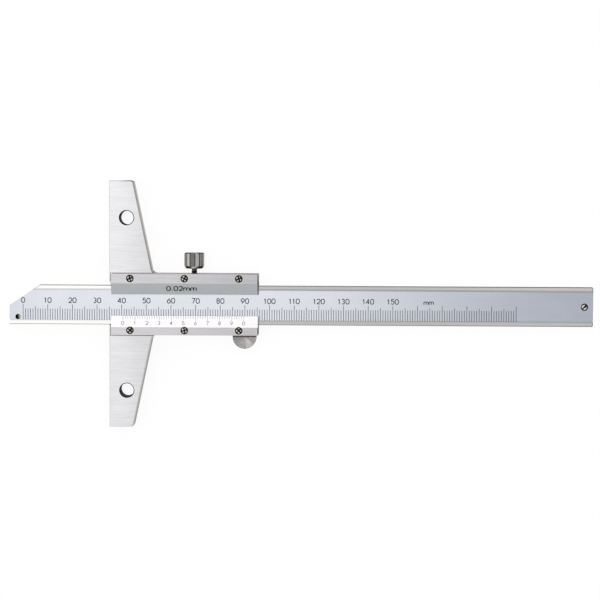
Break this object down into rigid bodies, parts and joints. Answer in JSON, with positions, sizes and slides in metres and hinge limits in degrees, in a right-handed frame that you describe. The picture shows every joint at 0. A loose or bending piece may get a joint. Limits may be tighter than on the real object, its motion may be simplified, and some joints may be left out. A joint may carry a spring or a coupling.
{
  "type": "vernier depth gauge",
  "caption": "Vernier depth gauge: T-shaped base and slider, graduated beam sliding through it under two screwed plates, lock screw above and thumb roller below.",
  "frame": {"origin": "on the measuring face of the base, in the middle of its length, at its back edge", "axes": "-X out of the measuring face, the way the beam's tip moves out; +Y along the base, up in the picture; +Z from the back plane, on which it lies, to the graduated front"},
  "size_m": [0.2366, 0.1, 0.0082],
  "materials": {
    "ground_steel": "fine ground steel with a straight grain",
    "satin_steel": "satin chromed scale field between ground lands",
    "plate_steel": "ground strip and matt sloping band",
    "vernier_steel": "ground strip and matt white vernier band",
    "screw_steel": "dark oiled steel",
    "turned_steel": "turned steel, darker",
    "roller_steel": "face-turned steel",
    "gib_brass": "plain brass strip"
  },
  "bodies": {
    "base": {"base_frame": "ground_steel", "upper_plate": "plate_steel", "vernier_plate": "vernier_steel", "plate_screw_1": "screw_steel", "plate_screw_2": "screw_steel", "plate_screw_3": "screw_steel", "plate_screw_4": "screw_steel", "plate_screw_5": "screw_steel", "plate_screw_6": "screw_steel", "gib_screw_1": "screw_steel", "gib_screw_2": "screw_steel", "roller_pin": "turned_steel"},
    "beam": {"beam": "satin_steel", "stop_screw": "screw_steel"},
    "gib": {"gib": "gib_brass"},
    "lock": {"lock_screw": "turned_steel"},
    "roller": {"thumb_roller": "roller_steel"}
  },
  "joints": [
    {"name": "beam_slide", "type": "slide", "parent": "base", "child": "beam", "axis": [1, 0, 0], "range_m": [-0.1305, 0.0406]},
    {"name": "roller_turn", "type": "hinge", "parent": "base", "child": "roller", "pos_m": [0.05475, -0.01327, 0.0034], "axis": [0, 0, 1], "range_deg": [-485, 1570]},
    {"name": "gib_press", "type": "slide", "parent": "base", "child": "gib", "axis": [0, -1, 0], "range_m": [0, 0.00016]},
    {"name": "lock_turn", "type": "hinge", "parent": "gib", "child": "lock", "pos_m": [0.0343, 0.0125, 0.00408], "axis": [0, -1, 0], "range_deg": [0, 129]}
  ],
  "couplings": [
    {"joint": "roller_turn", "follows": "beam_slide", "rad_per_m": -204.08},
    {"joint": "lock_turn", "follows": "gib_press", "rad_per_m": 13963}
  ]
}
